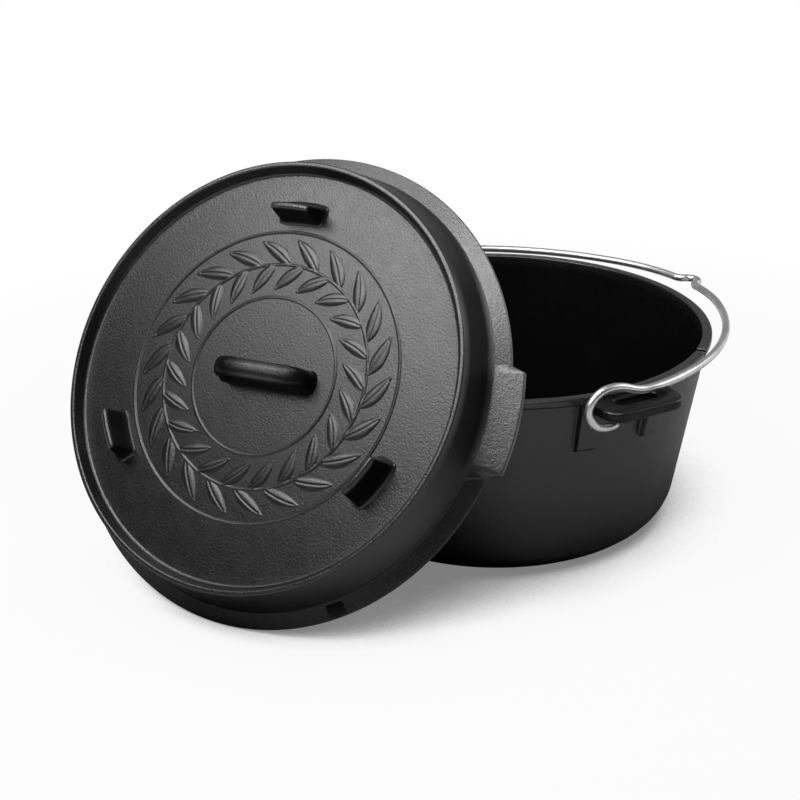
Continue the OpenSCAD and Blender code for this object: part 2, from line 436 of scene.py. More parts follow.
@dataclass(frozen=True)
class CastIron:
    """Seasoned black cast iron: sand grain, oil mottling, rubbed edges, raw parts, and painted
    shade where the shine is taken away.

    Scales are noise scales per metre.
    """

    name: str
    dark: Triple = (0.0020, 0.0020, 0.0021)
    light: Triple = (0.0052, 0.0050, 0.0049)
    rubbed: Triple = (0.022, 0.022, 0.022)
    raw: Triple = (0.014, 0.0137, 0.0135)
    patch_scale: float = 14.0
    mottle_scale: float = 110.0
    lump_scale: float = 430.0
    pit_scale: float = 520.0
    sand_scale: float = 760.0
    fine_scale: float = 1700.0
    gloss: Pair = (0.29, 0.37)
    rub_gloss: float = -0.08
    coarse_gloss: float = 0.06
    ior: float = 2.0
    shine: float = 0.24
    sand_shine: float = 0.55
    # Painted shade: the shine level left where the dull mark is full.
    painted_shade_shine: float = 0.05
    grain: float = 0.62
    grain_mm: float = 0.28
    coarse_depth: float = 1.3

    def material(self) -> bpy.types.Material:
        """Builds the node material.

        Noises and pits make the grain and the mottling. The mesh's wear mark gives a
        lighter, smoother rub along the edges, its coarse mark a rawer and deeper skin with
        lumps, and its dull mark takes the shine away: painted shade on parts that stand
        in shade or face away from the light.

        Returns:
            The material.
        """
        n = Nodes.of(bpy.data.materials.new(self.name))
        place = n.add("TexCoord").outputs["Object"]
        wear, coarse, dull = (n.add("Attribute", attribute_name=name).outputs["Fac"]
                              for name in MARKS)
        patch = n.noise(place, self.patch_scale)
        mottle = n.noise(place, self.mottle_scale, 4.0)
        lumps = n.noise(place, self.lump_scale, 3.0, 0.6)
        sand = n.noise(place, self.sand_scale, 2.0, 0.5)
        fine = n.noise(place, self.fine_scale, 2.0, 0.6)
        pits = n.add("TexVoronoi", Vector=place, Scale=self.pit_scale, Randomness=1.0)
        dent = n.ranged(pits.outputs["Distance"], 0.0, 0.4)
        tone = n.ranged(n.weighed((sand, 0.6), (patch, 0.4)), 0.32, 0.68)
        bare = n.maths("MULTIPLY", coarse, n.ranged(lumps, 0.36, 0.66, 0.15, 1.0))
        rub = n.maths("MULTIPLY", wear, n.ranged(sand, 0.35, 0.6, 0.35, 1.0))
        colour = n.coated(bare, n.blended(tone, self.dark, self.light), self.raw)
        rough = n.ranged(mottle, 0.25, 0.75, *self.gloss)
        change = n.weighed((rub, self.rub_gloss), (coarse, self.coarse_gloss))
        shine = n.ranged(coarse, 0.0, 1.0, self.shine, self.sand_shine)
        # Painted shade: the dull mark lowers the shine so that shaded parts read black.
        unshaded = n.ranged(dull, 0.0, 1.0, 1.0, self.painted_shade_shine)
        rise = n.maths("MULTIPLY", lumps, coarse)
        height = n.weighed((fine, 0.40), (sand, 0.85), (dent, 0.25), (rise, 0.8))
        depth = self.grain_mm * MM
        deep = n.ranged(coarse, 0.0, 1.0, depth, self.coarse_depth * depth)
        bump = n.add("Bump", Strength=self.grain, Distance=deep, Height=height)
        return n.close(n.add(
            "BsdfPrincipled", Metallic=0.0, IOR=self.ior,
            Base_Color=n.coated(rub, colour, self.rubbed),
            Roughness=n.maths("ADD", rough, change),
            Specular_IOR_Level=n.maths("MULTIPLY", shine, unshaded),
            Normal=bump.outputs["Normal"]))


@dataclass(frozen=True)
class DrawnWire:
    """Bright steel wire with faint drawing streaks and dull spots."""

    name: str
    dark: Triple = (0.60, 0.60, 0.61)
    light: Triple = (0.76, 0.76, 0.77)
    spot_scale: float = 60.0
    streak_scale: float = 420.0
    gloss: Pair = (0.36, 0.44)
    grain: float = 0.02
    grain_mm: float = 0.1

    def material(self) -> bpy.types.Material:
        """Builds the node material from a fine and a coarse noise.

        Returns:
            The material.
        """
        n = Nodes.of(bpy.data.materials.new(self.name))
        place = n.add("TexCoord").outputs["Object"]
        streak = n.noise(place, self.streak_scale, 4.0, 0.6)
        spot = n.ranged(n.noise(place, self.spot_scale), 0.35, 0.65)
        bump = n.add("Bump", Strength=self.grain, Distance=self.grain_mm * MM, Height=streak)
        return n.close(n.add(
            "BsdfPrincipled", Metallic=1.0, Base_Color=n.blended(spot, self.dark, self.light),
            Roughness=n.ranged(streak, 0.3, 0.7, *self.gloss), Normal=bump.outputs["Normal"]))


# Pieces


def attach(piece: bpy.types.Object, material: bpy.types.Material, body: Body,
           node: str | None = None) -> None:
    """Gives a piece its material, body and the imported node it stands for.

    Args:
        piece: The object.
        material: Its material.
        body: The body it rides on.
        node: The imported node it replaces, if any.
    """
    piece.data.materials.append(material)
    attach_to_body(piece, body.value)
    if node is not None:
        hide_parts(node)


@dataclass
class Pot:
    """The cast pot: turned bowl with a rim bead, two slotted ears and ribs below them.

    Rib rows are heights above a rib's foot where the wall gets extra rows; windows are half
    widths and steps of the finer angles at a rib's edges, an ear and the notch.
    """

    rim_r: float = 155.0
    height: float = 141.6
    wall_r: float = 153.1
    wall_t: float = 5.0
    draw: float = 22.6
    base_round: float = 32.0
    bead_h: float = 4.4
    bead_slope: float = 1.7
    notch_w: float = 7.0
    notch_d: float = 3.0
    notch_turn: float = 35.0
    notch_window: Pair = (2.0, 0.12)
    ear_top: float = 139.6
    ear_t: float = 7.0
    ear_half: float = 30.5
    ear_x: float = 181.5
    ear_corner: float = 12.0
    ear_round: float = 2.0
    ear_swell: float = 2.0
    ear_points: int = 240
    ear_window: Pair = (14.5, 0.7)
    slot_in: float = 159.5
    slot_out: float = 169.0
    slot_half: float = 16.0
    rib_w: float = 13.5
    rib_turn: float = 10.0
    rib_out: float = 6.0
    rib_foot: float = 5.0
    rib_drop: float = 31.0
    rib_rows: tuple[float, ...] = (-1.2, -0.4, 0.0, 0.4, 0.9, 1.5, 2.2, 3.2, 6.0, 9.0, 12.0,
                                   16.0, 20.0, 24.0, 27.0, 30.0)
    rib_window: Pair = (0.6, 0.13)
    rim_wear: float = 0.5
    ear_wear: float = 0.8
    # Painted shade: how much shine is taken from the bowl's inside and from the ear.
    inside_painted_shade: float = 0.85
    ear_painted_shade: float = 0.7
    finish: CastIron = field(default_factory=lambda: CastIron("pot_seasoned_iron"))

    def wall(self, height: Array | float) -> Array | float:
        """Radius of the outer wall at a height."""
        return self.wall_r - self.draw / self.height * (self.height - height)

    def section(self) -> Array:
        """Half section from the middle of the base, up the outside and down the inside.

        Returns:
            Radius and height points, shape (n, 2).
        """
        slope = self.draw / self.height
        mouth = self.wall_r - self.wall_t * math.hypot(1.0, slope)
        under = self.height - self.bead_h - self.bead_slope
        inner_foot = mouth - slope * (self.height - self.wall_t)
        line = filled(rounded_line([
            (POLE_R, 0.0, 0.0),
            (self.wall_r - self.draw, 0.0, self.base_round),
            (self.wall(under), under, 1.2),
            (self.rim_r, self.height - self.bead_h + 0.3, 1.0),
            (self.rim_r, self.height, 1.3),
            (mouth + 0.2, self.height, 1.3),
            (inner_foot, self.wall_t, self.base_round - self.wall_t),
            (POLE_R, self.wall_t, 0.0),
        ]), ROW_STEP)
        rows = self.ear_top - self.ear_t - self.rib_drop + np.array(self.rib_rows)
        spot = np.searchsorted(line[:np.argmax(line[:, 1]), 1], rows)
        return np.insert(line, spot, np.stack([self.wall(rows), rows], 1), axis=0)

    def bowl(self) -> Surface:
        """The turned bowl with ribs and the rim's notch pressed into its grid.

        A rib adds to the radius a taper in height times a flat-topped ease across it; the
        wall swells a little at an ear's root, and the notch holds the height down inside
        its width. Below the rim the inside loses its shine: painted shade for the deep bowl.

        Returns:
            The bowl's skin.
        """
        edge = math.degrees(self.rib_w / 2 / self.wall_r)
        windows = [(side + s * self.rib_turn + e * edge, *self.rib_window)
                   for side in (0.0, 180.0) for s in (-1, 1) for e in (-1, 1)]
        windows += [(side, *self.ear_window) for side in (0.0, 180.0)]
        a = uneven_angles(windows + [(self.notch_turn, *self.notch_window)])
        r, z = self.section().T[..., None]
        outer = np.arange(len(r))[:, None] <= np.argmax(z)
        top, low = self.ear_top, self.ear_top - self.ear_t
        foot, rib = low - self.rib_drop, self.rib_w / 2
        base = self.wall(foot) + self.rib_foot
        front = np.interp(z, [foot, foot + 2.0, low, top - 1.0],
                          [base - 2.0, base, self.wall(low) + self.rib_out, self.rim_r - 0.6])
        rise = np.maximum(front - r, 0.0) * smooth(z, foot - 0.45, foot + 0.05)
        rise = rise * (z < top - 0.9) * outer
        swell = smooth(z, low - 4.0, low) * smooth(z, top - 1.0, top - 3.0) * outer
        keep = np.zeros_like(r)
        for side in (0.0, math.pi):
            for s in (-1.0, 1.0):
                turn = off(a, side + s * math.radians(self.rib_turn))
                across = np.where(np.abs(turn) < 0.5, np.abs(np.sin(turn)) * r, np.inf)
                keep = np.maximum(keep, smooth(across, rib + 0.3, rib - 0.5))
            across = np.abs(off(a, side)) * r
            root = smooth(across, self.ear_half + 2.0, self.ear_half - 3.0)
            r = r + self.ear_swell * root * swell
        r = r + np.minimum(rise, np.maximum(front - r, 0.0)) * keep
        across = np.abs(off(a, math.radians(self.notch_turn))) * self.rim_r
        cut = smooth(across, self.notch_w / 2 + 0.4, self.notch_w / 2 - 0.5)
        z = z - cut * np.maximum(z - self.height + self.notch_d, 0.0)
        wear = smooth(z, self.height - 1.2, self.height - 0.2) * self.rim_wear
        # Painted shade: the inside below the rim loses most of its shine, so the deep bowl reads
        # black.
        painted_shade = smooth(z, self.height - 1.0, self.height - 4.0) * self.inside_painted_shade * ~outer
        ends = np.array([[0.0, 0.0, 0.0], [0.0, 0.0, self.wall_t]])
        return skin(polar(r, a, z), False, *ends, wear, dull=painted_shade)

    def ear(self) -> Surface:
        """The ear on +X: a ring of metal between the slot's outline and its own.

        Both outlines are read at the same number of points; at each the section is a
        rectangle with rounded corners between the slot's edge and the ear's edge. It is
        drawn on a long box, whose two ends are then carried to those edges.

        Returns:
            The ear's skin.
        """
        root, r = self.wall_r - self.wall_t - 1.0, (self.slot_out - self.slot_in) / 2 * 0.999
        plan, hole = (
            rounded_line([(far, 0.0, 0.0), (far, half, far_r), (near, half, near_r),
                          (near, -half, near_r), (far, -half, far_r), (far, -0.01, 0.0)])
            for near, far, half, near_r, far_r in (
                (root, self.ear_x, self.ear_half, 2.0, self.ear_corner),
                (self.slot_in, self.slot_out, self.slot_half, r, r)))
        outer = even_loop(plan, self.ear_points)
        inner = self.facing(hole, outer)
        reach = np.linalg.norm(outer - inner, axis=1)
        far, mid, thick, rim = 120.0, 60.0, self.ear_t, self.ear_round
        box = rounded_line([(mid, 0.0, 0.0), (far, 0.0, rim), (far, thick, rim),
                            (0.0, thick, rim), (0.0, 0.0, rim), (mid - 1.0, 0.0, 0.0)], 22.5)
        x, z = box.T[..., None]
        share = np.where(x < mid, x / reach, 1.0 - (far - x) / reach)
        share = np.where(np.abs(x - mid + 0.5) < 2.0, 0.5, share)
        flat = inner + (outer - inner) * share[..., None]
        high = np.broadcast_to(z + self.ear_top - thick, share.shape)
        edge = smooth(np.abs(share - 0.5), 0.38, 0.5)
        wear = smooth(z, thick - 1.6, thick - 0.4) * edge * self.ear_wear
        # Painted shade: the slot's walls lose all their shine and the rest of the ear most of
        # it, except on the rubbed edges.
        painted_shade = (1.0 - wear) * np.where(share < 0.15, 1.0, self.ear_painted_shade)
        return skin(np.concatenate([flat, high[..., None]], 2), True, wear=wear, dull=painted_shade)

    @staticmethod
    def facing(hole: Array, outer: Array) -> Array:
        """Points on a hole's outline that face points of an outer outline.

        Each quarter of both outlines is walked at the same pace.

        Args:
            hole: The hole's closed outline.
            outer: Evenly spread points of the outer outline, shape (n, 2).

        Returns:
            Points on the hole's outline, shape (n, 2).
        """
        fine = even_loop(hole, 4000)
        middle = fine.mean(0)
        aim = (outer - [outer[:, 0].mean(), middle[1]]) / np.ptp(outer, axis=0)
        aim = np.arctan2(*aim.T[::-1])
        have = np.arctan2(*((fine - middle) / np.ptp(fine, axis=0)).T[::-1])
        order = np.argsort(have)
        have = np.concatenate([have[order] + turn for turn in (-2 * np.pi, 0.0, 2 * np.pi)])
        fine = np.concatenate([fine[order]] * 3)
        return np.stack([np.interp(aim, have, fine[:, k]) for k in (0, 1)], 1)

    def build(self) -> list[bpy.types.Object]:
        """Builds the pot.

        Returns:
            The one piece.
        """
        ear = self.ear()
        other = ear.placed(np.diag([-1.0, 1.0, 1.0]), np.zeros(3)).outward()
        return [self.bowl().joined(ear).joined(other).to_object("pot_casting")]

    def dress(self, pieces: list[bpy.types.Object]) -> None:
        """Gives the piece its iron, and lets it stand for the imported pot."""
        attach(pieces[0], self.finish.material(), Body.POT, "pot")


@dataclass
class Bail:
    """The bail: one wire with a hook at each ear and a kink in its crown.

    A hook is an oval, longer on its outer side, and the flat part sags by a share of its
    run. The ends' steps and sizes dish the wire's first end and round its last.
    """

    wire_d: float = 5.45
    hook_x: float = 164.25
    hinge_y: float = -21.0
    hinge_z: float = 137.2
    hook_r: float = 14.505
    hook_tip: float = 295.0
    hook_out: float = 16.5
    hook_up: float = 13.3
    bend_run: float = 31.0
    lift: float = 6.85
    sag: float = 0.017
    elbow_r: float = 60.0
    elbow_turn: float = 12.5
    crown_r: float = 125.0
    reach: float = 195.45
    kink_out: float = 9.5
    kink_r: float = 7.0
    kink_lean: float = 2.3
    step: float = 1.6
    columns: int = 28
    end_steps: Pair = (0.7, 0.42)
    end_sizes: Triple = (0.72, 0.9, 1.0)
    finish: DrawnWire = field(default_factory=lambda: DrawnWire("bail_drawn_steel"))

    def arc(self, centre: Array | Pair, r: float, a: float, b: float) -> Array:
        """Points of an arc, without its last one.

        Args:
            centre: The arc's centre.
            r: Its radius.
            a: Its first angle.
            b: Its last angle.

        Returns:
            The points, shape (n, 2).
        """
        steps = max(4, int(abs(b - a) * math.radians(1.0) * r / self.step))
        t = np.radians(np.linspace(a, b, steps + 1))[:-1]
        return np.stack([centre[0] + r * np.cos(t), centre[1] + r * np.sin(t)], 1)

    def upright(self) -> Array:
        """The hook and the bend that follows it, in the plane of the slot.

        Returns:
            Points from the wire's end to the start of the flat part, shape (n, 3).
        """
        drop = self.hook_up - self.lift
        turn = 2 * math.degrees(math.atan(drop / self.bend_run))
        r = self.bend_run / (2 * math.sin(math.radians(turn)))
        hook = self.arc((0.0, 0.0), self.hook_r, self.hook_tip, 90.0) / self.hook_r
        wide = np.where(hook[:, 0] < 0.0, self.hook_out, self.hook_r)
        flat = np.concatenate([
            hook * np.stack([wide, np.full_like(wide, self.hook_up)], 1),
            self.arc((0.0, self.hook_up - r), r, 90.0, 90.0 - turn),
            self.arc((self.bend_run, self.lift + r), r, 270.0 - turn, 270.0),
        ])
        x = np.full(len(flat), self.hook_x)
        return np.stack([x, flat[:, 0] + self.hinge_y, flat[:, 1] + self.hinge_z], 1)

    def level(self, lean_by: float) -> Array:
        """Half of the folded wire's flat part, from the ear to the top of the kink.

        The elbow, the shoulder and the crown are arcs that meet without a corner: the
        shoulder's radius follows from the elbow's end and the crown's circle. The kink is
        turned about the crown's centre.

        Args:
            lean_by: Angle by which the kink leans toward this half.

        Returns:
            Points with the top of the kink last, shape (n, 3).
        """
        turn = math.radians(self.elbow_turn)
        way = np.array([math.cos(turn), math.sin(turn)])
        elbow = np.array([self.hook_x - self.elbow_r, self.hinge_y + self.bend_run])
        start = elbow + self.elbow_r * way
        crown = np.array([0.0, self.hinge_y + self.reach - self.crown_r])
        span = start - crown
        shoulder_r = (span @ span - self.crown_r**2) / (2 * (span @ way - self.crown_r))
        shoulder = start - shoulder_r * way
        last = math.degrees(math.atan2(*(crown - shoulder)[::-1]))
        kink_y, arm = self.crown_r + self.kink_out - self.kink_r, self.crown_r + self.kink_r
        lean = math.acos((arm**2 + kink_y**2 - 4 * self.kink_r**2) / (2 * arm * kink_y))
        kink = crown + np.array([0.0, kink_y])
        side = crown + arm * np.array([math.sin(lean), math.cos(lean)])
        aim = math.degrees(math.atan2(*(kink - side)[::-1])) % 360.0
        lean = math.degrees(lean)
        bent = np.concatenate([
            self.arc(side, self.kink_r, 270.0 - lean, aim),
            self.arc(kink, self.kink_r, aim - 180.0, 90.0),
            kink[None] + [[0.0, self.kink_r]],
        ])
        flat = np.concatenate([
            self.arc(elbow, self.elbow_r, 0.0, self.elbow_turn),
            self.arc(shoulder, shoulder_r, self.elbow_turn, last),
            self.arc(crown, self.crown_r, last, 90.0 - lean - lean_by),
            (bent - crown) @ turn_z(lean_by)[:2, :2] + crown,
        ])
        z = self.hinge_z + self.lift - self.sag * (flat[:, 1] - elbow[1])
        return np.concatenate([flat, z[:, None]], 1)

    def build(self) -> list[bpy.types.Object]:
        """Sweeps a round section along the wire.

        In a hook the section is spread by X and by the tangent crossed with it, on the
        flat part by the tangent crossed with Z and by minus Z, so that both agree where
        they meet.

        Returns:
            The one piece.
        """
        hook = self.upright()
        near, far = self.level(self.kink_lean), self.level(-self.kink_lean)[:-1]
        mirror = np.array([-1.0, 1.0, 1.0])
        path = np.concatenate([hook, near, (far * mirror)[::-1], (hook * mirror)[::-1]])
        along = tangents(path)
        side = np.cross(along, [0.0, 0.0, 1.0])
        down = np.tile([0.0, 0.0, -1.0], (len(path), 1))
        for part, x in ((slice(len(hook)), 1.0), (slice(-len(hook), None), -1.0)):
            side[part] = [x, 0.0, 0.0]
            down[part] = np.cross(along[part], side[part])
        side /= np.linalg.norm(side, axis=1)[:, None]
        steps = np.array(self.end_steps)[:, None]
        path = np.concatenate([path[:1] + along[:1] * steps, path,
                               path[-1:] + along[-1:] * steps[::-1]])
        side, down = (np.pad(v, ((2, 2), (0, 0)), mode="edge") for v in (side, down))
        size = np.full(len(path), self.wire_d / 2)
        size[:3] *= self.end_sizes
        size[-3:] *= self.end_sizes[::-1]
        t = full_turn(self.columns)[:, None]
        ring = np.cos(t) * side[:, None] + np.sin(t) * down[:, None]
        points = path[:, None] + ring * size[:, None, None]
        return [skin(points, False, path[0], path[-1]).to_object("bail_wire")]

    def dress(self, pieces: list[bpy.types.Object]) -> None:
        """Gives the piece its steel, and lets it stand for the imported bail."""
        attach(pieces[0], self.finish.material(), Body.BAIL, "bail")


@dataclass
class Lid:
    """The cast lid: plate in a coal rim, flange with lugs, handle and three feet.

    A foot's levels are height, share of its taper and growth of its outline; windows are
    half widths and steps of the finer angles at a lug's sides and the pocket.
    """

    flange_r: float = 159.4
    edge_h: float = 2.0
    edge_draw: float = 0.3
    band_r: float = 149.1
    band_h: float = 6.7
    band_step: float = 0.6
    lip_r: float = 142.6
    lip_h: float = 39.85
    lip_t: float = 3.0
    plate_h: float = 31.5
    plate_t: float = 5.5
    ring_r: float = 146.74
    ring_t: float = 4.5
    ring_d: float = 3.0
    lug_r: float = 168.4
    lug_half: float = 33.4
    lug_flare: float = 8.0
    lug_cut: float = 5.0
    lug_window: Pair = (3.2, 0.2)
    slit_w: float = 11.0
    slit_low: float = 3.0
    slit_h: float = 2.7
    slit_in: float = 2.5
    slit_turn: float = -60.0
    slit_window: Pair = (2.6, 0.14)
    foot_in: float = 103.0
    foot_out: float = 116.4
    foot_mid: float = 108.6
    foot_top: float = 4.0
    foot_h: float = 20.0
    foot_arc: float = 17.0
    foot_taper: float = 0.14
    foot_turns: Triple = (90.0, 210.0, 330.0)
    foot_levels: tuple[Triple, ...] = (
        (-1.0, 0.0, 1.6), (0.0, 0.0, 1.5), (0.5, 0.02, 0.8), (1.2, 0.05, 0.25),
        (2.2, 0.1, 0.0), (6.0, 0.3, 0.0), (10.0, 0.5, 0.0), (14.0, 0.7, 0.0),
        (17.0, 0.85, 0.0), (18.4, 0.92, 0.0), (19.3, 0.965, -0.35), (19.8, 0.99, -0.85),
        (20.0, 1.0, -1.4))
    handle_half: float = 35.0
    handle_h: float = 19.0
    handle_w: float = 13.0
    handle_t: float = 9.5
    handle_off: float = 3.5
    handle_bend: float = 9.5
    handle_flare: float = 0.28
    handle_sink: float = 1.5
    wreath_in: float = 50.0
    wreath_out: float = 99.0
    wreath_h: float = 1.0
    wreath_rows: int = 92
    wreath_columns: int = 780
    leaves: int = 22
    leaf_turn: float = 40.0
    leaf_long: float = 27.0
    leaf_wide: float = 4.6
    painted_shade_turn: float = 12.0
    # Painted shade: the angle round which the outer wall loses its shine.
    tilt: float = 55.9
    yaw: float = 29.7
    roll: float = 3.0
    shift: float = -71.0
    gap: float = 0.5
    rim_r: float = 155.0
    pot_h: float = 141.6
    finish: CastIron = field(default_factory=lambda: CastIron("lid_seasoned_iron"))

    def place(self) -> tuple[Array, Array]:
        """Where the lid leans: its turn and the middle of its seat plane.

        The seat's lowest point stands on the floor, and the seat plane passes the rim with
        a small gap.

        Returns:
            A 3 by 3 turn and a shift.
        """
        t, y = math.radians(self.tilt), math.radians(self.yaw)
        c, s = math.cos(t), math.sin(t)
        lean = np.array([[1.0, 0.0, 0.0], [0.0, c, -s], [0.0, s, c]])
        up = self.flange_r * s
        away = self.rim_r + (self.pot_h - up) / math.tan(t) + self.gap / s
        centre = np.array([away * math.sin(y) + self.shift * math.cos(y),
                           self.shift * math.sin(y) - away * math.cos(y), up])
        return turn_z(self.yaw) @ lean @ turn_z(self.roll), centre

    def section(self) -> Array:
        """Half section from the plate's middle over the lip and flange to the dish below.

        The band gets closer rows than the rest, for the lugs and the pocket.

        Returns:
            Radius and height points, shape (n, 2).
        """
        dish, under = self.ring_r - self.ring_t, self.plate_h - self.plate_t
        line = rounded_line([
            (POLE_R, self.plate_h, 0.0),
            (self.lip_r - self.lip_t - 2.8, self.plate_h, 2.6),
            (self.lip_r - self.lip_t, self.lip_h, 1.2),
            (self.lip_r, self.lip_h, 1.2),
            (self.band_r, self.band_h, 1.6),
            (self.flange_r - self.edge_draw, self.edge_h, 0.8),
            (self.flange_r, 0.0, 0.5),
            (self.ring_r, 0.0, 0.8),
            (self.ring_r, -self.ring_d, 0.8),
            (dish, -self.ring_d, 0.8),
            (dish - 3.4, under, 7.0),
            (POLE_R, under, 0.0),
        ])
        band = (line[:, 0] > self.band_r - 2.0) & (line[:, 1] > 0.6)
        first, last = np.flatnonzero(band)[[0, -1]]
        return np.concatenate([filled(line[:first + 1], ROW_STEP)[:-1],
                               filled(line[first:last + 1], self.band_step)[:-1],
                               filled(line[last:], ROW_STEP)])

    def outline(self, a: Array) -> Array:
        """Radius of the flange's edge by angle, with the two lugs' straight sides.

        A lug's side is a straight line; a ray from the middle meets it at its constant
        over the ray's part along its normal. The edge is the larger of the flange and the
        least of the lug's tip circle, its sides and its corner cuts.

        Args:
            a: Angles in radians.

        Returns:
            Radii.
        """
        away = np.abs(off(a * 2.0, 0.0)) / 2.0
        meet = np.full_like(a, self.lug_r)
        cut, half = self.lug_cut, self.lug_half
        corners = [(self.band_r - 12.0, half + self.lug_flare), (self.lug_r - cut, half),
                   (self.lug_r + cut, half - cut)]
        for (x0, y0), (x1, y1) in zip(corners, corners[1:]):
            nx, ny = y0 - y1, x1 - x0
            ray = nx * np.cos(away) + ny * np.sin(away)
            meet = np.minimum(meet, (nx * x0 + ny * y0) / ray)
        return np.maximum(self.flange_r, np.where(away < 0.5, meet, self.flange_r))

    def band_radius_at(self, height: float) -> float:
        """Radius at which the sloping band has a height."""
        drop = (self.band_h - height) / (self.band_h - self.edge_h)
        return self.band_r + drop * (self.flange_r - self.edge_draw - self.band_r)

    def shell(self) -> Surface:
        """The turned lid with lugs drawn out of its flange and a pocket cut into it.

        Flange points keep their share of the way from the band's top to the edge, and the
        edge moves out to the lugs' outline, where the band also rises a little. Lip and
        edge are worn, the band is coarse, and painted shade takes the shine from the wall
        round one angle and from the lower half of the band, which stand darker under the light.

        Returns:
            The lid's skin in its own frame.
        """
        half = math.degrees(self.lug_half / self.flange_r)
        windows = [(turn + s * half, *self.lug_window) for turn in (0.0, 180.0) for s in (-1, 1)]
        a = uneven_angles(windows + [(self.slit_turn % 360.0, *self.slit_window)])
        r, z = self.section().T[..., None]
        above = np.arange(len(r))[:, None] < np.argmin(z)
        share = np.clip((r - self.band_r) / (self.flange_r - self.band_r), 0.0, 1.0)
        out = self.band_r + share * (self.outline(a) - self.band_r)
        out = np.where(r > self.band_r, out, r)
        run = self.lug_r - self.lug_cut - out * np.abs(np.cos(a))
        side = self.lug_half + self.lug_flare * run / (self.lug_r - self.band_r + 7.0)
        slab = smooth(out * np.abs(np.sin(a)) - side, 0.4, -0.5)
        top = (r > self.band_r - 1.6) & (z > 0.9)
        z = z + np.where(top, slab * (0.8 + 0.3 * (1.0 - share)), 0.0)
        out, z = self.pocketed(r, a, out, z, above)
        lip = smooth(z, self.lip_h - 1.0, self.lip_h - 0.2) * 0.6
        rim = smooth(r, self.flange_r - 1.4, self.flange_r - 0.6) * 0.35
        sandy = smooth(r, self.band_r - 1.5, self.band_r) * above
        wall = smooth(r, self.lip_r + 0.3, self.lip_r + 1.2) * above * (1.0 - sandy)
        # Painted shade: the wall round one angle and the band's lower half lose their shine and
        # read black.
        away = np.degrees(np.abs(off(a, math.radians(self.painted_shade_turn))))
        painted_shade = np.maximum(0.95 * wall * smooth(away, 48.0, 14.0),
                          0.8 * sandy * smooth(-np.sin(a), 0.13, 0.25))
        ends = np.array([[0.0, 0.0, self.plate_h], [0.0, 0.0, self.plate_h - self.plate_t]])
        return skin(polar(out, a, z), False, *ends, np.maximum(lip, rim), sandy, painted_shade)

    def pocketed(self, r: Array, a: Array, out: Array, z: Array,
                 above: Array) -> tuple[Array, Array]:
        """Holds the flange in where the pocket is.

        Inside the pocket's width the band's rows walk in along its roof, down its back,
        out along its floor and on to the edge.

        Args:
            r: Radii of the turned section.
            a: Angles in radians.
            out: Radii with the lugs.
            z: Heights.
            above: Which rows lie on the upper side.

        Returns:
            Radii and heights with the pocket.
        """
        low, high = self.slit_low, self.slit_low + self.slit_h
        mouth, edge = self.band_radius_at(high), self.flange_r - 0.4
        back = self.band_r - self.slit_in
        way = np.clip((r - mouth) / (edge - mouth), 0.0, 1.0)
        steps = [0.0, 0.22, 0.4, 0.65, 1.0]
        deep_r = np.interp(way, steps, [mouth, back, back, mouth, edge])
        deep_z = np.interp(way, steps, [high, high, low, low, low - 0.1])
        across = np.abs(off(a, math.radians(self.slit_turn))) * self.band_r
        cut = smooth(across, self.slit_w / 2 + 0.25, self.slit_w / 2 - 0.35)
        cut = cut * ((z > 0.6) & above & (r > max(mouth, self.band_r)) & (r < edge))
        return out + (deep_r - out) * cut, z + (deep_z - z) * cut

    def foot(self) -> Surface:
        """One foot on +X: a tapering block on an arc, flared at its base.

        A rounded rectangle of tangential and radial half widths is carried up through
        levels that shrink it from the base's size to the top's and round its top edge.

        Returns:
            The foot's skin in the lid's frame.
        """
        u, v = squared_circle(full_turn(96), 6.0)
        rise, share, grow = np.array(self.foot_levels).T[..., None]
        half_top = self.foot_top / 2
        inner = self.foot_in + share * (self.foot_mid - half_top - self.foot_in)
        outer = self.foot_out + share * (self.foot_mid + half_top - self.foot_out)
        half = math.radians(self.foot_arc / 2) * self.foot_mid
        half = half * (1.0 - self.foot_taper * share) + grow
        r = (inner + outer) / 2 + ((outer - inner) / 2 + grow) * u
        points = polar(r, half * v / self.foot_mid, self.plate_h + rise)
        low = np.array([(self.foot_in + self.foot_out) / 2, 0.0, self.plate_h - 1.0])
        top = np.array([self.foot_mid, 0.0, self.plate_h + self.foot_h])
        # Painted shade: the foot's sides lose most of their shine, so they stand black below the
        # worn top edge.
        painted_shade = smooth(rise, 1.0, 3.0) * smooth(rise, 19.2, 17.5) * 0.9
        return skin(points, False, low, top, smooth(rise, 18.2, 19.4) * 0.6, dull=painted_shade)

    def handle(self) -> Surface:
        """The arched handle: a flattened round bar carried over an arch, flared at its feet.

        Returns:
            The handle's skin in the lid's frame.
        """
        half, top = self.handle_half - self.handle_t / 2, self.handle_h - self.handle_t / 2
        sink, bend = self.handle_sink, self.handle_bend
        line = filled(rounded_line([
            (half + 0.6, -sink, 0.0), (half, top, bend), (-half, top, bend),
            (-half - 0.6, -sink, 0.0)], 6.0), 1.5)
        (x, z), (run, climb) = line.T[..., None], tangents(line).T[..., None]
        t = full_turn(48)
        u, v = squared_circle(t, 2.5)
        swell = 1.0 + self.handle_flare * smooth(z, 3.2, -1.0)
        thick = self.handle_t / 2 * swell * u
        points = np.stack([x + climb * thick + self.handle_off, self.handle_w / 2 * swell * v,
                           z - run * thick + self.plate_h], -1)
        ends = np.array([[half, 0.0, -sink], [-half, 0.0, -sink]])
        ends = ends + [self.handle_off, 0.0, self.plate_h]
        # Partly wear, partly painted light: the top is rubbed lighter toward the middle, a
        # painted highlight on real wear, and the ends lose their shine as painted shade.
        held = smooth(np.abs(x - 4.0), 26.0, 6.0)
        wear = held * np.clip(np.cos(t), 0.0, 1.0) * 0.25
        return skin(points, False, *ends, wear, dull=0.9 - 0.75 * held)

    @staticmethod
    def ridge(r: Array, at: float, half: float) -> Array:
        """Height of a half-round ridge about the axis, from 0 to 1."""
        return np.sqrt(np.clip(1.0 - ((r - at) / half) ** 2, 0.0, None))

